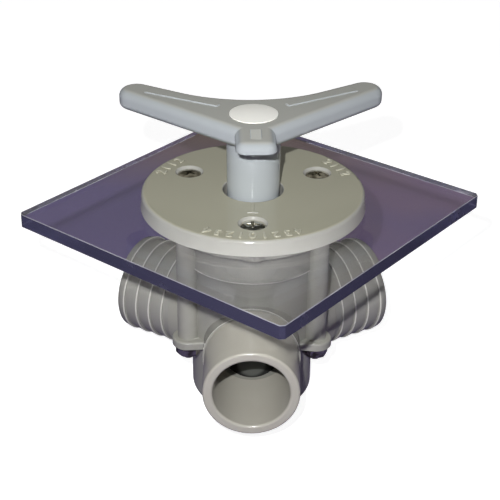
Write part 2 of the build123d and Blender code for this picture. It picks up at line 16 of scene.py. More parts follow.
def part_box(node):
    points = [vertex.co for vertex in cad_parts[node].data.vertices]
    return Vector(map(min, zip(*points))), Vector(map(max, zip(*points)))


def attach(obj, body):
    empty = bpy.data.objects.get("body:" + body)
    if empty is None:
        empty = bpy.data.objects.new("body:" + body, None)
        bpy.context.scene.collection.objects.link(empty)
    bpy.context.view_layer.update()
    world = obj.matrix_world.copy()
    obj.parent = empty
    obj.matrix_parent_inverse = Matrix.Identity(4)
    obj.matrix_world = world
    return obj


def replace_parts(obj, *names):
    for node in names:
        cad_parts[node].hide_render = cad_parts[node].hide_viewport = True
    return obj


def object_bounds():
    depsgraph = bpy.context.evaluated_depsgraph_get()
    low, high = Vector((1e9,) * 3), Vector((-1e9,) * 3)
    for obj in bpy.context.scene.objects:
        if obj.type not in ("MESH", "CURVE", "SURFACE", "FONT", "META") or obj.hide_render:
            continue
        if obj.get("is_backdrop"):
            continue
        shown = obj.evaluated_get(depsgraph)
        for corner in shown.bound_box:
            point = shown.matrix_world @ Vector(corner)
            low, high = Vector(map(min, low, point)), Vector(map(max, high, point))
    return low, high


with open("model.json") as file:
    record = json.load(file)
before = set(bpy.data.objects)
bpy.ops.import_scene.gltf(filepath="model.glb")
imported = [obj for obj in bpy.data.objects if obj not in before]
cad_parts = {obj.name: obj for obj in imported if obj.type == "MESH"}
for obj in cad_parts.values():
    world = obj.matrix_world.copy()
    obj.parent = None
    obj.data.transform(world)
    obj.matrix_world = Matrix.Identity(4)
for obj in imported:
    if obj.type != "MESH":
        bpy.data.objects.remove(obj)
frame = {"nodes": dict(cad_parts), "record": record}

log = logging.getLogger("three_way_valve")

MILLIMETRE = 0.001
WELD_DISTANCE = 1e-7
PORT_AXIS_HEIGHT = 33.9 * MILLIMETRE
ACRYLIC_INDEX = 1.49
WHITE = (1.0, 1.0, 1.0)
Triple = tuple[float, float, float]
Colour = Triple
Stops = tuple[tuple[float, float], ...]


class Body(str, Enum):
    """The body that the new pieces ride on."""

    FIXED = "body"


class Slot(str, Enum):
    """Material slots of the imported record."""

    BODY_PLASTIC = "body_plastic"
    SEAL_RUBBER = "seal_rubber"
    BUSH_PLASTIC = "bush_plastic"
    PANEL_ACRYLIC = "panel_acrylic"
    FASTENER_STEEL = "fastener_steel"
    INSERT_BRASS = "insert_brass"
    ROTOR_PLASTIC = "rotor_plastic"
    HANDLE_PLASTIC = "handle_plastic"
    CAP_PLASTIC = "cap_plastic"


class Port(float, Enum):
    """Direction of each port round the spindle, in degrees from +X."""

    FRONT = -90.0
    RIGHT = 30.0
    LEFT = 150.0


class Detail(float, Enum):
    """How many finer layers a noise has."""

    PLAIN = 1.0
    SOFT = 2.0
    UNEVEN = 3.0
    CLOUDY = 4.0
    PATCHY = 5.0


# ---------------------------------------------------------------- shader maths
class Signal:
    """A shader socket that Python's operators combine into Math nodes."""

    def __init__(self, book: "FinishBook", socket: bpy.types.NodeSocket) -> None:
        """Wraps a socket.

        Args:
            book: The material that the socket belongs to.
            socket: An output socket of one of its nodes.
        """
        self.book = book
        self.socket = socket

    def _maths(self, operation: str, first: Any, second: Any) -> "Signal":
        """One Math node of two operands."""
        settings = {"operation": operation}
        return self.book.node("ShaderNodeMath", 0, settings, {0: first, 1: second})

    def __add__(self, other: Any) -> "Signal":
        """The sum."""
        return self._maths("ADD", self, other)

    __radd__ = __add__

    def __sub__(self, other: Any) -> "Signal":
        """The difference."""
        return self._maths("SUBTRACT", self, other)

    def __rsub__(self, other: Any) -> "Signal":
        """A number less this value."""
        return self._maths("SUBTRACT", other, self)

    def __mul__(self, other: Any) -> "Signal":
        """The product."""
        return self._maths("MULTIPLY", self, other)

    __rmul__ = __mul__

    def __gt__(self, other: Any) -> "Signal":
        """1 where this value is the greater, 0 elsewhere."""
        return self._maths("GREATER_THAN", self, other)


class FinishBook:
    """Makes and links the nodes of one material or world."""

    BEVEL_SAMPLES = 6
    MIX_SHARE, MIX_FIRST, MIX_SECOND, MIX_RESULT = 0, 6, 7, 2

    def __init__(self, name: str, owner: bpy.types.ID | None = None) -> None:
        """Starts an empty node tree.

        Args:
            name: Name of the material, where one is made.
            owner: A world to fill in place of a new material.
        """
        self.owner = owner or bpy.data.materials.new(name)
        self.owner.use_nodes = True
        self.tree = self.owner.node_tree
        self.tree.nodes.clear()

    def node(
        self,
        kind: str,
        output: int | str = 0,
        settings: dict[str, Any] | None = None,
        inputs: dict[int | str, Any] | None = None,
    ) -> Signal:
        """Makes a node, sets it up and feeds its sockets.

        Args:
            kind: Blender's name for the node's type.
            output: Index or name of the output that is wanted.
            settings: Properties that are set before the sockets; stops fills a ramp.
            inputs: Values or signals by the socket's index or name.

        Returns:
            The wanted output, or the first input of a node that has no output.
        """
        made = self.tree.nodes.new(kind)
        for key, value in (settings or {}).items():
            if key == "stops":
                self._fill_ramp(made.color_ramp, value)
            else:
                setattr(made, key, value)
        for key, value in (inputs or {}).items():
            socket = made.inputs[key]
            if isinstance(value, Signal):
                self.tree.links.new(value.socket, socket)
            elif isinstance(value, tuple) and socket.type == "RGBA":
                socket.default_value = (*value, 1.0)
            else:
                socket.default_value = value
        return Signal(self, made.outputs[output] if made.outputs else made.inputs[0])

    @staticmethod
    def _fill_ramp(ramp: bpy.types.ColorRamp, stops: Stops) -> None:
        """Sets the stops of a grey ramp.

        Args:
            ramp: The ramp.
            stops: A (place, level) pair for each stop.
        """
        while len(ramp.elements) < len(stops):
            ramp.elements.new(1.0)
        for element, (place, level) in zip(ramp.elements, stops, strict=True):
            element.position = place
            element.color = (level, level, level, 1.0)

    def noise(self, size: float, detail: Detail, stretch: Triple = (1.0, 1.0, 1.0)) -> Signal:
        """Noise over the piece's own coordinates.

        Args:
            size: Size of its features, in metres.
            detail: How many finer layers are added.
            stretch: Factor on each axis, below 1 where the features are long.

        Returns:
            A level that is mostly between 0.3 and 0.7.
        """
        place = self.node("ShaderNodeTexCoord", "Object")
        scaled = self.node("ShaderNodeMapping", 0, None, {"Vector": place, "Scale": stretch})
        sockets = {"Vector": scaled, "Scale": 1 / size, "Detail": detail.value}
        return self.node("ShaderNodeTexNoise", 0, None, sockets)

    def along(self, axis: str, coordinates: str = "Object") -> Signal:
        """One of the coordinates of the shaded point.

        Args:
            axis: X, Y or Z.
            coordinates: The kind of coordinates, as the Texture Coordinate node names it.

        Returns:
            The coordinate.
        """
        place = self.node("ShaderNodeTexCoord", coordinates)
        return self.node("ShaderNodeSeparateXYZ", axis, None, {0: place})

    def ray(self, kind: str) -> Signal:
        """1 on rays of a kind, such as Camera or Shadow, and 0 on the others."""
        return self.node("ShaderNodeLightPath", f"Is {kind} Ray")

    def ramp(self, level: Signal, stops: Stops) -> Signal:
        """A level passed through a ramp of (place, level) stops."""
        return self.node("ShaderNodeValToRGB", 0, {"stops": stops}, {0: level})

    def blend(self, share: Signal, first: Any, second: Any) -> Signal:
        """A colour between two colours, by a share from 0 to 1."""
        sockets = {self.MIX_SHARE: share, self.MIX_FIRST: first, self.MIX_SECOND: second}
        return self.node("ShaderNodeMix", self.MIX_RESULT, {"data_type": "RGBA"}, sockets)

    def mixed(self, share: Signal, first: Signal, second: Signal) -> Signal:
        """A surface between two surfaces, by a share from 0 to 1."""
        return self.node("ShaderNodeMixShader", 0, None, {0: share, 1: first, 2: second})

    def relief(self, height: Signal, depth: float, edge_round: float = 0.0) -> Signal:
        """A normal raised by a height, over edges that look slightly rounded.

        Args:
            height: The height, from 0 to 1.
            depth: Metres that a height of 1 stands for.
            edge_round: Radius that sharp edges seem to have, in metres.

        Returns:
            The normal.
        """
        sockets: dict[int | str, Any] = {"Height": height, "Distance": depth}
        if edge_round:
            settings = {"samples": self.BEVEL_SAMPLES}
            sockets["Normal"] = self.node("ShaderNodeBevel", 0, settings, {0: edge_round})
        return self.node("ShaderNodeBump", 0, None, sockets)

    def shader(self, kind: str, **sockets: Any) -> Signal:
        """A shader by Blender's name; a socket's name is written with underscores."""
        named = {key.replace("_", " "): value for key, value in sockets.items()}
        return self.node(kind, 0, None, named)

    def finish(self, surface: Signal, world: bool = False) -> bpy.types.ID:
        """Links the surface to the output.

        Args:
            surface: The finished surface or background.
            world: Whether a world is being made.

        Returns:
            The material or world.
        """
        kind = "ShaderNodeOutputWorld" if world else "ShaderNodeOutputMaterial"
        self.node(kind, 0, None, {"Surface": surface})
        return self.owner


# ---------------------------------------------------------------- finishes
@dataclass(frozen=True)
class MouldedPlastic:
    """Glossy moulding: clouded colour, patchy gloss, a faint orange peel, dust and painted light
    on top, painted shade below.
    """

    name: str
    colour: Colour
    shade: Colour
    roughness: float
    gloss_spread: float = 0.04
    # Colour of upward faces: dust, and painted light that sets the tops apart from the sides as
    # the lamp and its reflections fall.
    dust: Colour | None = None
    # Colour of painted shade laid on downward faces.
    painted_underside_shade: Colour | None = None
    cloud_size: float = 20 * MILLIMETRE
    cloud_stops: Stops = ((0.35, 0.0), (0.65, 1.0))
    cloud_share: float = 0.6
    speck_size: float = 0.8 * MILLIMETRE
    speck_stops: Stops = ((0.68, 0.0), (0.78, 1.0))
    speck_share: float = 0.3
    dust_and_light_stops: Stops = ((0.8, 0.0), (0.985, 1.0))
    speck_in_dust_and_light: float = 0.4
    painted_underside_shade_stops: Stops = ((0.1, 0.0), (0.6, 1.0))
    painted_underside_shade_share: float = 0.8
    patches_per_cloud: float = 3.0
    peel_size: float = 1.6 * MILLIMETRE
    peel_depth: float = 0.004 * MILLIMETRE
    edge_round: float = 0.3 * MILLIMETRE

    def make(self) -> bpy.types.Material:
        """Makes the nodes.

        Returns:
            The material.
        """
        book = FinishBook(self.name)
        cloud = book.ramp(book.noise(self.cloud_size, Detail.CLOUDY), self.cloud_stops)
        speck = book.ramp(book.noise(self.speck_size, Detail.PLAIN), self.speck_stops)
        shaded = cloud * self.cloud_share + speck * self.speck_share
        colour = book.blend(shaded, self.colour, self.shade)
        if self.dust:
            # Upward faces take that colour: partly dust, partly painted light on the tops.
            upwards = book.along("Z", "Normal")
            dust_and_light = book.ramp(upwards, self.dust_and_light_stops)
            colour = book.blend(dust_and_light * (1.0 - speck * self.speck_in_dust_and_light), colour, self.dust)
            # Downward faces are darkened: painted shade where shadow falls under things.
            if self.painted_underside_shade:
                under = book.ramp(0.0 - upwards, self.painted_underside_shade_stops)
                colour = book.blend(under * self.painted_underside_shade_share, colour, self.painted_underside_shade)
        patches = book.noise(self.cloud_size / self.patches_per_cloud, Detail.PATCHY)
        peel = book.noise(self.peel_size, Detail.PLAIN)
        return book.finish(book.shader(
            "ShaderNodeBsdfPrincipled",
            Base_Color=colour,
            Roughness=patches * self.gloss_spread + (self.roughness - self.gloss_spread / 2),
            Normal=book.relief(peel, self.peel_depth, self.edge_round),
        ))


@dataclass(frozen=True)
class PaintedLitSpot:
    """Paler round spot on a face that looks along Y: a painted pool of light where the lamp
    reaches into the bore.
    """

    colour: Colour
    height: float
    radius: float
    stops: Stops = ((0.6, 1.0), (1.0, 0.0))

    def over(self, book: FinishBook, colour: Signal) -> Signal:
        """Lays the spot over a colour.

        Args:
            book: The material that the colour belongs to.
            colour: The colour without the spot.

        Returns:
            The colour with the spot.
        """
        across = book.along("X")
        above = book.along("Z") - self.height
        reach = (across * across + above * above) * (1 / self.radius**2)
        return book.blend(book.ramp(reach, self.stops), colour, self.colour)


@dataclass(frozen=True)
class MouldedRubber:
    """Matt rubber with a dusty bloom and a fine grain."""

    name: str
    colour: Colour
    bloom: Colour
    # A painted pool of light laid over the rubber, where one is given.
    spot: PaintedLitSpot | None = None
    roughness: float = 0.72
    bloom_gloss: float = 0.15
    sheen_level: float = 0.25
    bloom_size: float = 9 * MILLIMETRE
    bloom_stops: Stops = ((0.4, 0.0), (0.75, 1.0))
    grain_size: float = 0.5 * MILLIMETRE
    grain_depth: float = 0.02 * MILLIMETRE

    def make(self) -> bpy.types.Material:
        """Makes the nodes.

        Returns:
            The material.
        """
        book = FinishBook(self.name)
        dust = book.ramp(book.noise(self.bloom_size, Detail.PATCHY), self.bloom_stops)
        grain = book.noise(self.grain_size, Detail.SOFT)
        colour = book.blend(dust, self.colour, self.bloom)
        return book.finish(book.shader(
            "ShaderNodeBsdfPrincipled",
            Base_Color=self.spot.over(book, colour) if self.spot else colour,
            Roughness=dust * self.bloom_gloss + self.roughness,
            Specular_IOR_Level=self.sheen_level,
            Normal=book.relief(grain, self.grain_depth),
        ))


@dataclass(frozen=True)
class TurnedMetal:
    """Bright metal with fine turning marks and small stains."""

    name: str
    colour: Colour
    stain: Colour
    roughness: float
    stain_gloss: float = 0.12
    stain_size: float = 3.5 * MILLIMETRE
    stain_stops: Stops = ((0.42, 0.0), (0.62, 1.0))
    mark_gloss: float = 0.06
    mark_size: float = 0.6 * MILLIMETRE
    mark_stretch: Triple = (1.0, 1.0, 4.0)
    mark_depth: float = 0.003 * MILLIMETRE
    edge_round: float = 0.15 * MILLIMETRE

    def make(self) -> bpy.types.Material:
        """Makes the nodes.

        Returns:
            The material.
        """
        book = FinishBook(self.name)
        stains = book.ramp(book.noise(self.stain_size, Detail.UNEVEN), self.stain_stops)
        marks = book.noise(self.mark_size, Detail.SOFT, self.mark_stretch)
        even = self.roughness - self.mark_gloss / 2
        return book.finish(book.shader(
            "ShaderNodeBsdfPrincipled",
            Base_Color=book.blend(stains, self.colour, self.stain),
            Metallic=1.0,
            Roughness=marks * self.mark_gloss + stains * self.stain_gloss + even,
            Normal=book.relief(marks, self.mark_depth, self.edge_round),
        ))


@dataclass(frozen=True)
class ClearSheetFace:
    """Polished clear sheet, faintly tinted, that lets the lamps through."""

    name: str
    tint: Colour
    roughness: float = 0.015
    wear_gloss: float = 0.2
    wear_size: float = 20 * MILLIMETRE
    wear_stops: Stops = ((0.5, 0.0), (0.8, 1.0))
    scratch_size: float = 0.7 * MILLIMETRE
    scratch_stretch: Triple = (0.02, 1.0, 1.0)
    scratch_stops: Stops = ((0.66, 0.0), (0.72, 1.0))

    def make(self) -> bpy.types.Material:
        """Makes the nodes.

        Returns:
            The material.
        """
        book = FinishBook(self.name)
        fine = book.noise(self.scratch_size, Detail.PLAIN, self.scratch_stretch)
        wear = book.ramp(book.noise(self.wear_size, Detail.UNEVEN), self.wear_stops)
        scratches = book.ramp(fine, self.scratch_stops)
        glass = book.shader(
            "ShaderNodeBsdfPrincipled",
            Base_Color=self.tint,
            Roughness=wear * scratches * self.wear_gloss + self.roughness,
            IOR=ACRYLIC_INDEX,
            Transmission_Weight=1.0,
        )
        through = tuple(level * level for level in self.tint)
        clear = book.shader("ShaderNodeBsdfTransparent", Color=through)
        return book.finish(book.mixed(book.ray("Shadow"), glass, clear))


@dataclass(frozen=True)
class ClearSheetEdge:
    """Sawn and scraped edge of the sheet, tinted deep and dark as painted shade and painted
    reflection of the backdrop.

    Light leaves through its borders, so only a band along its middle casts a shadow.
    """

    name: str
    tint: Colour
    dark_middle: float
    dark_reach: float
    passed_tint: Colour = (0.85, 0.85, 0.86)
    transmission: float = 0.6
    roughness: float = 0.16
    patch_gloss: float = 0.15
    patch_size: float = 12 * MILLIMETRE
    patch_stops: Stops = ((0.4, 0.0), (0.7, 1.0))
    saw_size: float = 1.2 * MILLIMETRE
    saw_stretch: Triple = (1.0, 1.0, 0.15)
    saw_depth: float = 0.03 * MILLIMETRE

    def make(self) -> bpy.types.Material:
        """Makes the nodes.

        Returns:
            The material.
        """
        book = FinishBook(self.name)
        saw = book.noise(self.saw_size, Detail.SOFT, self.saw_stretch)
        patches = book.ramp(book.noise(self.patch_size, Detail.UNEVEN), self.patch_stops)
        sawn = book.shader(
            "ShaderNodeBsdfPrincipled",
            Base_Color=self.tint,
            Roughness=patches * self.patch_gloss + self.roughness,
            IOR=ACRYLIC_INDEX,
            Transmission_Weight=self.transmission,
            Normal=book.relief(saw, self.saw_depth),
        )
        off = book.along("Z") - self.dark_middle
        border = off * off > self.dark_reach**2
        clear = book.shader("ShaderNodeBsdfTransparent", Color=self.passed_tint)
        return book.finish(book.mixed(book.ray("Shadow") * border, sawn, clear))


Finish = MouldedPlastic | MouldedRubber | TurnedMetal | ClearSheetFace | ClearSheetEdge


class Finishes:
    """Every material of the valve, made once."""

    SPOT_HEIGHT_SHARE = 0.24
    SPOT_RADIUS = 6.8 * MILLIMETRE
    DARK_SHARE = 0.27

    def __init__(self) -> None:
        """Makes the materials and keeps them by what they belong to."""
        self.sheet_edge = self._sawn_edge().make()
        # Scraped arrises, coloured lighter: partly scraping, partly a painted highlight along the
        # edge.
        self.sheet_arris = MouldedPlastic(
            "sheet_scraped_highlight", (0.34, 0.335, 0.37), (0.10, 0.10, 0.15), roughness=0.45
        ).make()
        # Lighter plastic for thin lips: a painted highlight along crests and edges.
        self.lip_highlight = MouldedPlastic(
            "lip_highlight", (0.50, 0.495, 0.455), (0.40, 0.395, 0.35), roughness=0.3
        ).make()
        # Numerals lighter than the plate: a painted highlight where light catches the raised
        # marks.
        self.plate_marks_highlight = MouldedPlastic(
            "plate_marks_highlight", (0.455, 0.445, 0.36), (0.39, 0.38, 0.30), roughness=0.22
        ).make()
        self.by_slot = {slot: finish.make() for slot, finish in self._slot_finishes().items()}
        self.by_node = {node: finish.make() for node, finish in self._node_finishes().items()}
        self.by_node["right_hose_tail"] = self.by_node["left_hose_tail"]

    def dress_nodes(self) -> None:
        """Gives every solid of the frame its own finish, or else that of its slot."""
        for part in frame["record"]["subparts"]:
            name = part["node"]
            of_slot = self.by_slot[Slot(part["material_slot"])]
            materials = frame["nodes"][name].data.materials
            materials.clear()
            materials.append(self.by_node.get(name, of_slot))

    def _slot_finishes(self) -> dict[Slot, Finish]:
        """Chooses the finish of each slot of the record.

        Returns:
            The finishes by slot.
        """
        return {
            # The body plastic is a darker copy of the spigot's: painted shade under the sheet.
            Slot.BODY_PLASTIC: MouldedPlastic(
                "body_grey_shaded", (0.272, 0.27, 0.242), (0.244, 0.24, 0.212), roughness=0.2
            ),
            # The handle's tops turn warmer and lighter as dust and painted light; its undersides
            # darken as painted shade.
            Slot.HANDLE_PLASTIC: MouldedPlastic(
                "handle_blue_grey", (0.387, 0.415, 0.43), (0.367, 0.396, 0.41), roughness=0.06,
                gloss_spread=0.02, dust=(0.425, 0.43, 0.40), painted_underside_shade=(0.16, 0.18, 0.175),
            ),
            Slot.CAP_PLASTIC: MouldedPlastic(
                "cap_off_white", (0.985, 0.98, 0.92), (0.96, 0.95, 0.88), roughness=0.3
            ),
            Slot.BUSH_PLASTIC: MouldedPlastic(
                "bush_natural", (0.72, 0.70, 0.62), (0.66, 0.63, 0.54), roughness=0.4
            ),
            Slot.ROTOR_PLASTIC: MouldedPlastic(
                "rotor_charcoal", (0.045, 0.045, 0.048), (0.03, 0.03, 0.032), roughness=0.45
            ),
            Slot.SEAL_RUBBER: MouldedRubber(
                "seal_black", (0.02, 0.02, 0.022), (0.06, 0.058, 0.055)
            ),
            # The steel's dark stains also stand in for the dark reflections of the heads: partly
            # stains, partly painted reflection.
            Slot.FASTENER_STEEL: TurnedMetal(
                "stainless_bright", (0.66, 0.64, 0.56), (0.17, 0.16, 0.115), roughness=0.1
            ),
            Slot.INSERT_BRASS: TurnedMetal(
                "insert_brass", (0.72, 0.53, 0.24), (0.45, 0.30, 0.12), roughness=0.2
            ),
            Slot.PANEL_ACRYLIC: ClearSheetFace("sheet_clear", (0.87, 0.87, 0.875)),
        }

    def _node_finishes(self) -> dict[str, Finish]:
        """Chooses the finish of each solid that differs from the rest of its slot.

        Returns:
            The finishes by the solid's name.
        """
        return {
            "front_spigot": MouldedPlastic(
                "spigot_warm_grey", (0.385, 0.372, 0.325), (0.36, 0.345, 0.298), roughness=0.23
            ),
            # The tails are the same darker copy: painted shade under the sheet.
            "left_hose_tail": MouldedPlastic(
                "tail_grey_shaded", (0.262, 0.26, 0.238), (0.235, 0.232, 0.21), roughness=0.2
            ),
            # The plate's tops turn darker and yellower: partly dust, partly painted shade.
            "faceplate": MouldedPlastic(
                "plate_warm_grey", (0.37, 0.368, 0.34), (0.345, 0.342, 0.31), roughness=0.13,
                dust=(0.362, 0.354, 0.275),
            ),
            # The pad is painted near black, darker than the seal rubber: painted shade around its
            # painted lit spot.
            "port_seal": MouldedRubber(
                "pad_black_shaded", (0.006, 0.006, 0.006), (0.012, 0.012, 0.011), self._painted_lit_spot()
            ),
        }

    def _painted_lit_spot(self) -> PaintedLitSpot:
        """Places the painted pool of light that the front bore shows on the pad.

        Returns:
            The spot, at a height that follows the pad's.
        """
        low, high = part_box("port_seal")
        height = low.z + self.SPOT_HEIGHT_SHARE * (high.z - low.z)
        return PaintedLitSpot((0.06, 0.063, 0.058), height, self.SPOT_RADIUS)

    def _sawn_edge(self) -> ClearSheetEdge:
        """Fits the edge's dark band to the sheet's thickness.

        Returns:
            The finish of the edge.
        """
        low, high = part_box("mounting_panel")
        middle, reach = (low.z + high.z) / 2, self.DARK_SHARE * (high.z - low.z)
        # The edge's dark violet tint is painted shade and reflection.
        return ClearSheetEdge("sheet_edge", (0.096, 0.094, 0.172), middle, reach)


# ---------------------------------------------------------------- piece making
def new_object(name: str, data: bpy.types.ID) -> bpy.types.Object:
    """Puts a new object in the scene.

    Args:
        name: Name of the object.
        data: The mesh, curve, lamp or camera that it holds.

    Returns:
        The object, at the origin.
    """
    made = bpy.data.objects.new(name, data)
    bpy.context.scene.collection.objects.link(made)
    return made


def add_piece(
    name: str, mesh: bpy.types.Mesh, body: Body, materials: Iterable[bpy.types.Material]
) -> bpy.types.Object:
    """Puts a finished mesh in the scene.

    Args:
        name: Name of the piece.
        mesh: Its mesh, already in place.
        body: The body that it rides on.
        materials: Its materials, in slot order.

    Returns:
        The new object.
    """
    piece = new_object(name, mesh)
    for material in materials:
        mesh.materials.append(material)
    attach(piece, body.value)
    log.info("%s: %d faces, rides on %s", name, len(mesh.polygons), body.value)
    return piece


def finished_mesh(name: str, shape: bmesh.types.BMesh, crease: float = 0.0) -> bpy.types.Mesh:
    """Turns a bmesh into a mesh with its normals outwards.

    Args:
        name: Name of the mesh.
        shape: The bmesh, which is freed.
        crease: Angle in degrees from which edges look sharp; 0 leaves every face flat.

    Returns:
        The mesh.
    """
    bmesh.ops.remove_doubles(shape, verts=shape.verts, dist=WELD_DISTANCE)
    bmesh.ops.recalc_face_normals(shape, faces=shape.faces)
    mesh = bpy.data.meshes.new(name)
    shape.to_mesh(mesh)
    shape.free()
    if crease:
        for polygon in mesh.polygons:
            polygon.use_smooth = True
        mesh.set_sharp_from_angle(angle=radians(crease))
    return mesh


def spin_round(shape: bmesh.types.BMesh, steps: int) -> None:
    """Spins all of a bmesh once round Z.

    Args:
        shape: The bmesh, which holds only the outline.
        steps: Number of steps in the turn.
    """
    bmesh.ops.spin(
        shape, geom=shape.verts[:] + shape.edges[:], axis=(0, 0, 1), cent=(0, 0, 0),
        dvec=(0, 0, 0), angle=2 * pi, steps=steps, use_merge=True,
    )


def turned_to(azimuth: float) -> Matrix:
    """Turn about the spindle that takes +X to an azimuth in degrees."""
    return Matrix.Rotation(radians(azimuth), 4, "Z")


def along_port(port: Port, distance: float = 0.0) -> Matrix:
    """Lays +Z along the axis of a port.

    Args:
        port: The port.
        distance: How far from the spindle the origin goes.

    Returns:
        The placement.
    """
    stand = Matrix.Translation((0, 0, PORT_AXIS_HEIGHT)) @ turned_to(port.value)
    return stand @ Matrix.Translation((distance, 0, 0)) @ Matrix.Rotation(pi / 2, 4, "Y")


@dataclass
class ClearSheet:
    """The square sheet, with its sawn edges and scraped arrises, lighter as a painted highlight,
    as further finishes.
    """

    EDGE, ARRIS = 1, 2

    finishes: Finishes
    rim_distance: float = 60 * MILLIMETRE
    upright: float = 0.3
    level: float = 0.95

    def build(self) -> bpy.types.Object:
        """Copies the solid's mesh and marks its outer edges.

        Returns:
            The sheet, in the solid's place.
        """
        mesh = frame["nodes"]["mounting_panel"].data.copy()
        mesh.materials.clear()
        for polygon in mesh.polygons:
            tilt = abs(polygon.normal.z)
            if polygon.center.xy.length > self.rim_distance and tilt < self.level:
                polygon.material_index = self.ARRIS if tilt > self.upright else self.EDGE
        clear = self.finishes.by_slot[Slot.PANEL_ACRYLIC]
        materials = (clear, self.finishes.sheet_edge, self.finishes.sheet_arris)
        piece = add_piece("clear_sheet", mesh, Body.FIXED, materials)
        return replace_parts(piece, "mounting_panel")


@dataclass
class HoseTail:
    """Turned barbed tail whose crests end in a rounded lip, coloured lighter as a painted
    highlight.
    """

    finishes: Finishes
    node: str
    port: Port
    bore: float = 15.6 * MILLIMETRE
    shoulder: float = 24.6 * MILLIMETRE
    tenon: float = 18.8 * MILLIMETRE
    socket_reach: float = 30.4 * MILLIMETRE
    root: float = 18.9 * MILLIMETRE
    crest: float = 20.1 * MILLIMETRE
    pitch: float = 6.65 * MILLIMETRE
    count: int = 4
    nose: float = 3.8 * MILLIMETRE
    reach: float = 58.4 * MILLIMETRE
    lip: float = 0.45 * MILLIMETRE
    lip_parts: int = 3
    steps: int = 128
    crease: float = 38.0

    def build(self) -> bpy.types.Object:
        """Spins the outline round the port's axis.

        Returns:
            The tail, in the solid's place.
        """
        shape = bmesh.new()
        ring = [shape.verts.new((radius, 0, along)) for radius, along in self._outline()]
        for pair in zip(ring, ring[1:] + ring[:1], strict=True):
            shape.edges.new(pair)
        spin_round(shape, self.steps)
        for face in shape.faces:
            middle = face.calc_center_median()
            # Each crest's lip takes the lighter finish, a painted highlight.
            on_lip = any(0 <= middle.z - start <= self.lip for start in self._crests())
            face.material_index = int(on_lip and middle.xy.length > self.crest - self.lip)
        bmesh.ops.transform(shape, matrix=along_port(self.port), verts=shape.verts)
        mesh = finished_mesh(f"barbed_{self.node}", shape, self.crease)
        materials = (self.finishes.by_node[self.node], self.finishes.lip_highlight)
        piece = add_piece(mesh.name, mesh, Body.FIXED, materials)
        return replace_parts(piece, self.node)

    def _crests(self) -> list[float]:
        """Distance of each tooth's step from the spindle, inner tooth first."""
        outer = self.reach - self.nose
        return [outer - tooth * self.pitch for tooth in reversed(range(self.count))]

    def _outline(self) -> list[tuple[float, float]]:
        """Draws the wall, once round.

        Returns:
            Points as (radius, distance from the spindle).
        """
        slope = (self.crest - self.root) / self.pitch
        points = [
            (self.bore, self.shoulder),
            (self.tenon, self.shoulder),
            (self.tenon, self.socket_reach),
            (self.root, self.socket_reach),
        ]
        for start in self._crests():
            points.append((self.root, start))
            for part in range(self.lip_parts + 1):
                turn = part * pi / (2 * self.lip_parts)
                on_lip = self.crest - self.lip * (1 - sin(turn))
                radius = on_lip - slope * self.lip * part / self.lip_parts
                points.append((radius, start + self.lip * (1 - cos(turn))))
        end = self.crest - slope * self.nose
        points += [(end, self.reach - self.lip), (end - self.lip, self.reach)]
        points += [(self.bore + self.lip, self.reach), (self.bore, self.reach - self.lip)]
        return points


@dataclass
class HighlightLips:
    """Thin lips that run round the collar's lower edge and the mouth of the front socket,
    coloured as a painted highlight.
    """

    finishes: Finishes
    section: float = 0.28 * MILLIMETRE
    sunk: float = 0.16 * MILLIMETRE
    collar_radius: float = 30.0 * MILLIMETRE
    collar_bottom: float = 65.1 * MILLIMETRE
    mouth_radius: float = 20.4 * MILLIMETRE
    mouth_reach: float = 31.4 * MILLIMETRE
    segments: int = 10
    steps: int = 160
    crease: float = 60.0

    def build(self) -> bpy.types.Object:
        """Makes both rings as one piece in the lighter plastic of the painted highlight.

        Returns:
            The new piece.
        """
        shape = bmesh.new()
        collar = Matrix.Translation((0, 0, self.collar_bottom + self.section))
        self._ring(shape, self.collar_radius - self.sunk, collar)
        mouth = along_port(Port.FRONT, self.mouth_reach - self.section)
        self._ring(shape, self.mouth_radius - self.sunk, mouth)
        mesh = finished_mesh("highlight_lips", shape, self.crease)
        return add_piece(mesh.name, mesh, Body.FIXED, (self.finishes.lip_highlight,))

    def _ring(self, shape: bmesh.types.BMesh, radius: float, place: Matrix) -> None:
        """Adds a ring of round section.

        Args:
            shape: The bmesh that it is added to.
            radius: Radius of the ring's middle line.
            place: Takes the ring from round Z to its place.
        """
        ring = bmesh.new()
        made = bmesh.ops.create_circle(ring, segments=self.segments, radius=self.section)["verts"]
        stand = Matrix.Translation((radius, 0, 0)) @ Matrix.Rotation(pi / 2, 4, "X")
        bmesh.ops.transform(ring, matrix=stand, verts=made)
        spin_round(ring, self.steps)
        bmesh.ops.transform(ring, matrix=place, verts=ring.verts)
        mesh = bpy.data.meshes.new("ring")
        ring.to_mesh(mesh)
        ring.free()
        shape.from_mesh(mesh)
        bpy.data.meshes.remove(mesh)


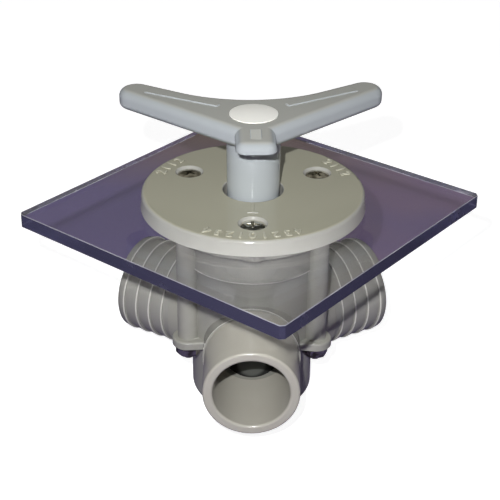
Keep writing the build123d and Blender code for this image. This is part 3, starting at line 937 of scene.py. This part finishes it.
@dataclass
class FaceplateMarks:
    """Raised plain numerals round the faceplate, one group to a port, coloured lighter as a
    painted highlight.
    """

    finishes: Finishes
    index_height: float = 0.4 * MILLIMETRE
    relief: float = 0.5 * MILLIMETRE
    sunk: float = 0.1 * MILLIMETRE
    middle_radius: float = 41.6 * MILLIMETRE
    numeral_height: float = 4.5 * MILLIMETRE
    numeral_share: float = 0.7
    stroke_gain: float = 0.1 * MILLIMETRE
    step: float = 6.3
    groups: dict[Port, str] = field(
        default_factory=lambda: {Port.FRONT: "432101234", Port.LEFT: "2112", Port.RIGHT: "2112"}
    )

    def build(self) -> bpy.types.Object:
        """Makes all the marks as one piece, in a plastic lighter than the faceplate's.

        Returns:
            The new piece.
        """
        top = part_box("faceplate")[1].z - self.index_height
        outwards = Matrix.Translation((self.middle_radius, 0, top))
        upright = Matrix.Rotation(-pi / 2, 4, "Z")
        shape = bmesh.new()
        for port, text in self.groups.items():
            for place, numeral in enumerate(text):
                azimuth = port.value + (place - (len(text) - 1) / 2) * self.step
                mark = self._numeral(numeral)
                mark.transform(turned_to(azimuth) @ outwards @ upright)
                shape.from_mesh(mark)
                bpy.data.meshes.remove(mark)
        mesh = finished_mesh("faceplate_marks", shape)
        materials = (self.finishes.plate_marks_highlight,)
        return add_piece(mesh.name, mesh, Body.FIXED, materials)

    def _numeral(self, text: str) -> bpy.types.Mesh:
        """Makes a numeral as a low relief about the origin.

        Args:
            text: The numeral.

        Returns:
            Its mesh.
        """
        curve = bpy.data.curves.new("numeral", "FONT")
        curve.body = text
        curve.size = self.numeral_height / self.numeral_share
        curve.align_x, curve.align_y = "CENTER", "CENTER"
        curve.extrude = (self.relief + self.sunk) / 2
        curve.offset = self.stroke_gain
        holder = new_object("numeral", curve)
        bpy.context.view_layer.update()
        evaluated = holder.evaluated_get(bpy.context.evaluated_depsgraph_get())
        mesh = bpy.data.meshes.new_from_object(evaluated)
        bpy.data.objects.remove(holder)
        bpy.data.curves.remove(curve)
        mesh.transform(Matrix.Translation((0, 0, (self.relief - self.sunk) / 2)))
        return mesh


# ---------------------------------------------------------------- the set
@dataclass
class Floor:
    """Plain floor: white to the camera, a cloth's tones in gloss and through the sheet."""

    side: float = 6.0
    drop: float = 0.1 * MILLIMETRE
    tone: Colour = (0.25, 0.205, 0.45)
    mauve: Colour = (0.37, 0.26, 0.45)
    # Browner tone towards the back: painted light and shade of the room on the backdrop.
    far_painted_light: Colour = (0.40, 0.285, 0.265)
    gloss_tone: Colour = (0.10, 0.085, 0.17)
    bounce_tone: Colour = (0.15, 0.115, 0.25)
    even_share: float = 0.6
    even_level: float = 0.39
    cloud_size: float = 0.09
    cloud_slope: float = 2.0
    cloud_stops: Stops = ((0.4, 0.0), (0.65, 1.0))
    far_slope: float = 2.0
    far_stops: Stops = ((0.38, 0.0), (0.54, 1.0))
    white_share: float = 0.9
    shaded_tone: Colour = (0.5, 0.5, 0.5)

    def build(self) -> bpy.types.Object:
        """Lays the floor just under the object.

        Returns:
            The floor, which belongs to the stage.
        """
        shape = bmesh.new()
        bmesh.ops.create_grid(shape, x_segments=1, y_segments=1, size=self.side / 2)
        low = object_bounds()[0].z - self.drop
        bmesh.ops.translate(shape, vec=(0, 0, low), verts=shape.verts)
        mesh = finished_mesh("floor", shape)
        mesh.materials.append(self._material())
        floor = new_object("floor", mesh)
        floor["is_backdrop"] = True
        return floor

    def _material(self) -> bpy.types.Material:
        """Makes the floor's material, which differs by the kind of ray.

        Returns:
            The material.
        """
        book = FinishBook("floor_white")
        through = book.ray("Transmission")
        tone = self._cloth_tone(book, through)
        diffuse = book.shader("ShaderNodeBsdfDiffuse", Color=tone)
        even = book.shader("ShaderNodeEmission", Color=tone, Strength=self.even_level)
        cloth = book.mixed(through * self.even_share, diffuse, even)
        white = book.shader("ShaderNodeEmission", Color=WHITE, Strength=self.white_share)
        shaded = book.shader("ShaderNodeBsdfDiffuse", Color=self.shaded_tone)
        seen = book.node("ShaderNodeAddShader", 0, None, {0: shaded, 1: white})
        return book.finish(book.mixed(book.ray("Camera"), cloth, seen))

    def _cloth_tone(self, book: FinishBook, through: Signal) -> Signal:
        """The cloth's colour.

        Args:
            book: The floor's material.
            through: 1 on rays that came through the sheet.

        Returns:
            The colour, darker in gloss and in the light that it throws back.
        """
        far = book.ramp(book.along("Y") * self.far_slope, self.far_stops)
        uneven = book.noise(self.cloud_size, Detail.SOFT) + book.along("X") * self.cloud_slope
        near = book.blend(book.ramp(uneven, self.cloud_stops), self.tone, self.mauve)
        # The back is painted browner, as the room's light and shade.
        tone = book.blend(far, near, self.far_painted_light)
        tone = book.blend(book.ray("Glossy") * (1.0 - through), tone, self.gloss_tone)
        return book.blend(book.ray("Diffuse"), tone, self.bounce_tone)


@dataclass
class Surroundings:
    """World: white to the camera, dim in front and lighter behind, a soft ceiling in gloss."""

    dim: Colour = (0.98, 0.98, 1.0)
    dim_level: float = 0.032
    rear_level: float = 1.9
    behind_stops: Stops = ((0.0, 0.0), (0.4, 1.0))
    low_stops: Stops = ((0.2, 1.0), (0.45, 0.0))
    ceiling: Colour = (1.0, 0.95, 0.82)
    ceiling_stops: Stops = ((0.0, 0.04), (0.45, 0.2), (0.8, 0.3))

    def build(self) -> None:
        """Makes the world."""
        world = bpy.data.worlds.new("surroundings")
        bpy.context.scene.world = world
        book = FinishBook(world.name, world)
        height = book.along("Z", "Generated")
        ceiling_level = book.ramp(height, self.ceiling_stops)
        behind = book.ramp(book.along("Y", "Generated"), self.behind_stops)
        low = book.ramp(height, self.low_stops)
        level = behind * low * self.rear_level + self.dim_level
        white = book.shader("ShaderNodeBackground", Color=WHITE)
        bright = book.shader("ShaderNodeBackground", Color=self.ceiling, Strength=ceiling_level)
        faint = book.shader("ShaderNodeBackground", Color=self.dim, Strength=level)
        around = book.mixed(book.ray("Glossy"), faint, bright)
        book.finish(book.mixed(book.ray("Camera"), around, white), world=True)


@dataclass
class Studio:
    """Camera in front and above, a small key beside it, and a broad weak fill."""

    camera_place: Triple = (0.0, -0.46698, 0.32483)
    camera_right: Triple = (0.99996, 0.00614, 0.00687)
    camera_down: Triple = (0.00897, -0.48163, -0.87633)
    camera_forward: Triple = (-0.00207, 0.87635, -0.48167)
    focal_length: float = 90.06
    sensor_width: float = 36.0
    nearest: float = 0.01
    farthest: float = 50.0
    target: Triple = (0.0, 0.0, 0.07)
    key_above_camera: float = 0.038
    key_left_of_camera: float = 0.027
    key_size: float = 0.007
    key_level: float = 1.22
    fill_place: Triple = (-0.5, -0.2, 1.1)
    fill_size: float = 0.9
    fill_power: float = 0.15

    def build(self) -> None:
        """Sets up the lamps and the camera."""
        self._lamps()
        self._camera()
        bpy.context.scene.view_settings.view_transform = "Standard"

    def _lamps(self) -> None:
        """The key, whose level on a white face that looks at it is set, and the fill."""
        place = Vector(self.camera_place) - Vector(self.camera_down) * self.key_above_camera
        place -= Vector(self.camera_right) * self.key_left_of_camera
        distance = (place - Vector(self.target)).length
        self._lamp("key", place, self.key_size, pi * pi * distance * distance * self.key_level)
        self._lamp("fill", Vector(self.fill_place), self.fill_size, self.fill_power)

    def _lamp(self, name: str, place: Vector, size: float, power: float) -> None:
        """A round area lamp that faces the target.

        Args:
            name: Name of the lamp.
            place: Where it stands.
            size: Its diameter, in metres.
            power: Its power in watts.
        """
        data = bpy.data.lights.new(name, "AREA")
        data.shape = "DISK"
        data.size = size
        data.energy = power
        lamp = new_object(name, data)
        lamp.location = place
        lamp.rotation_mode = "QUATERNION"
        lamp.rotation_quaternion = (Vector(self.target) - place).to_track_quat("-Z", "Y")

    def _camera(self) -> None:
        """The camera, squared up from its rounded directions."""
        data = bpy.data.cameras.new("camera")
        data.sensor_width = self.sensor_width
        data.lens = self.focal_length
        data.clip_start, data.clip_end = self.nearest, self.farthest
        camera = new_object("camera", data)
        back = -Vector(self.camera_forward).normalized()
        right = Vector(self.camera_right).normalized()
        up = back.cross(right).normalized()
        right = up.cross(back)
        turn = Matrix((right, up, back)).transposed().to_4x4()
        camera.matrix_world = Matrix.Translation(Vector(self.camera_place)) @ turn
        bpy.context.scene.camera = camera


def main() -> None:
    """Builds the classes in order."""
    logging.basicConfig(level=logging.INFO, format="%(name)s: %(message)s")
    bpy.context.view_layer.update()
    finishes = Finishes()
    finishes.dress_nodes()
    ClearSheet(finishes).build()
    HoseTail(finishes, "left_hose_tail", Port.LEFT).build()
    HoseTail(finishes, "right_hose_tail", Port.RIGHT).build()
    HighlightLips(finishes).build()
    FaceplateMarks(finishes).build()
    Floor().build()
    Surroundings().build()
    Studio().build()


if __name__ == "__main__":
    main()
